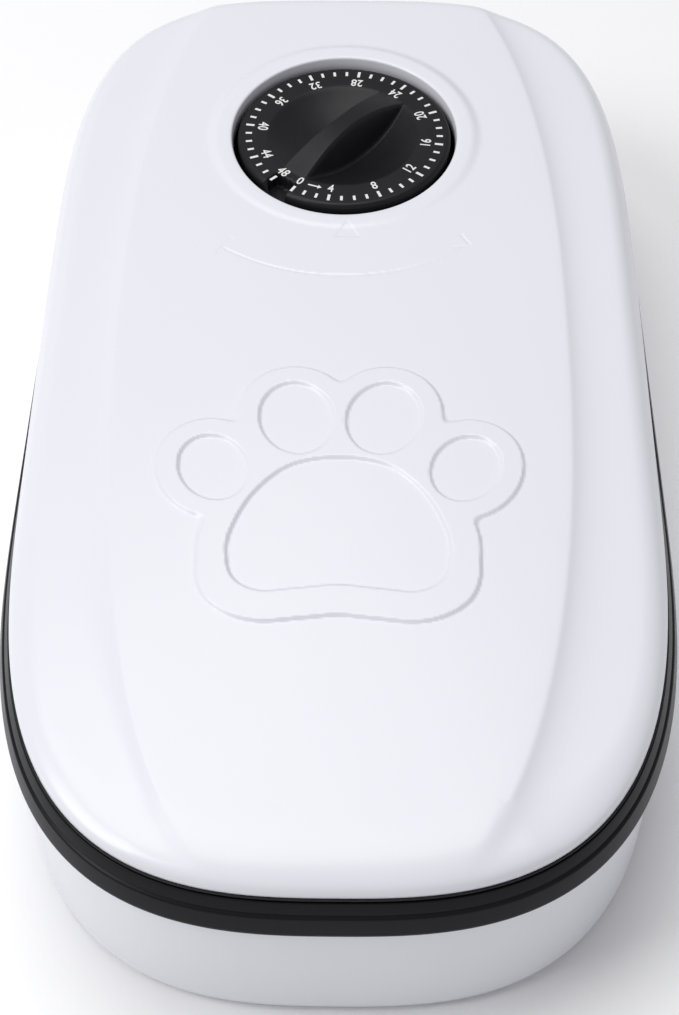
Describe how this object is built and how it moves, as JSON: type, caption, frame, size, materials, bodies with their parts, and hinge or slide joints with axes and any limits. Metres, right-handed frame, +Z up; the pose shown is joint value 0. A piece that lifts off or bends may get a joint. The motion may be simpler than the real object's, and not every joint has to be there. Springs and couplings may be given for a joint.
{
  "type": "automatic pet feeder",
  "caption": "Long rounded pet feeder with a lid hinged at the back, a food bowl under it, and a round timer dial through the lid that releases it after a set time.",
  "frame": {"origin": "centre of the feeder's box, on the surface that its feet stand on", "axes": "+Y towards the hinge and the dial, -Y the rounded feeding end, +X to the right seen from the front, +Z up"},
  "size_m": [0.1695, 0.3173, 0.0698],
  "materials": {
    "white_shell": "gloss moulded",
    "black_plastic": "satin moulded",
    "dial_black": "satin moulded",
    "seal_rubber": "soft matt",
    "foot_rubber": "soft matt",
    "steel": "bright",
    "contact_metal": "nickel plated",
    "bronze": "sintered",
    "cell_jacket": "plain printed sleeve",
    "gear_plastic": "natural acetal",
    "copper_wire": "enamelled wire",
    "board_green": "solder mask",
    "chip_resin": "resin blob"
  },
  "bodies": {
    "base": {"base_shell": "white_shell", "battery_box": "black_plastic", "battery_cell": "cell_jacket", "bearing_bush": "bronze", "circuit_board": "board_green", "deck_frame": "black_plastic", "deck_screws": "steel", "floor_plate": "white_shell", "food_bowl": "black_plastic", "hinge_pins": "steel", "hinge_springs": "steel", "motor_coil": "copper_wire", "motor_stator": "steel", "negative_contact": "contact_metal", "positive_contact": "contact_metal", "quartz_can": "steel", "rubber_feet": "foot_rubber", "timer_chip": "chip_resin", "timer_cover": "black_plastic", "timer_housing": "black_plastic", "timer_screws": "steel"},
    "lid": {"lid_shell": "white_shell", "lid_seal": "seal_rubber", "latch_tongue": "black_plastic", "latch_screws": "steel"},
    "dial": {"timer_dial": "dial_black", "dial_shaft": "steel", "shaft_gear": "gear_plastic", "clutch_spring": "steel", "clutch_collar": "steel"},
    "wheel": {"intermediate_gear": "gear_plastic"},
    "rotor": {"motor_rotor": "gear_plastic"},
    "door": {"battery_door": "white_shell"}
  },
  "joints": [
    {"name": "lid_hinge", "type": "hinge", "parent": "base", "child": "lid", "pos_m": [0, 0.1546, 0.0473], "axis": [-1, 0, 0], "range_deg": [0, 70]},
    {"name": "dial_turn", "type": "hinge", "parent": "base", "child": "dial", "pos_m": [0, 0.0889, 0.0649], "axis": [0, 0, 1], "continuous": true},
    {"name": "wheel_turn", "type": "hinge", "parent": "base", "child": "wheel", "pos_m": [0.018, 0.0889, 0.034], "axis": [0, 0, 1], "continuous": true},
    {"name": "rotor_turn", "type": "hinge", "parent": "base", "child": "rotor", "pos_m": [0.018, 0.0739, 0.034], "axis": [0, 0, 1], "continuous": true},
    {"name": "door_slide", "type": "slide", "parent": "base", "child": "door", "axis": [0, 1, 0], "range_m": [0, 0.007]}
  ],
  "couplings": [
    {"joint": "wheel_turn", "follows": "dial_turn", "ratio": -5},
    {"joint": "rotor_turn", "follows": "dial_turn", "ratio": 20}
  ]
}
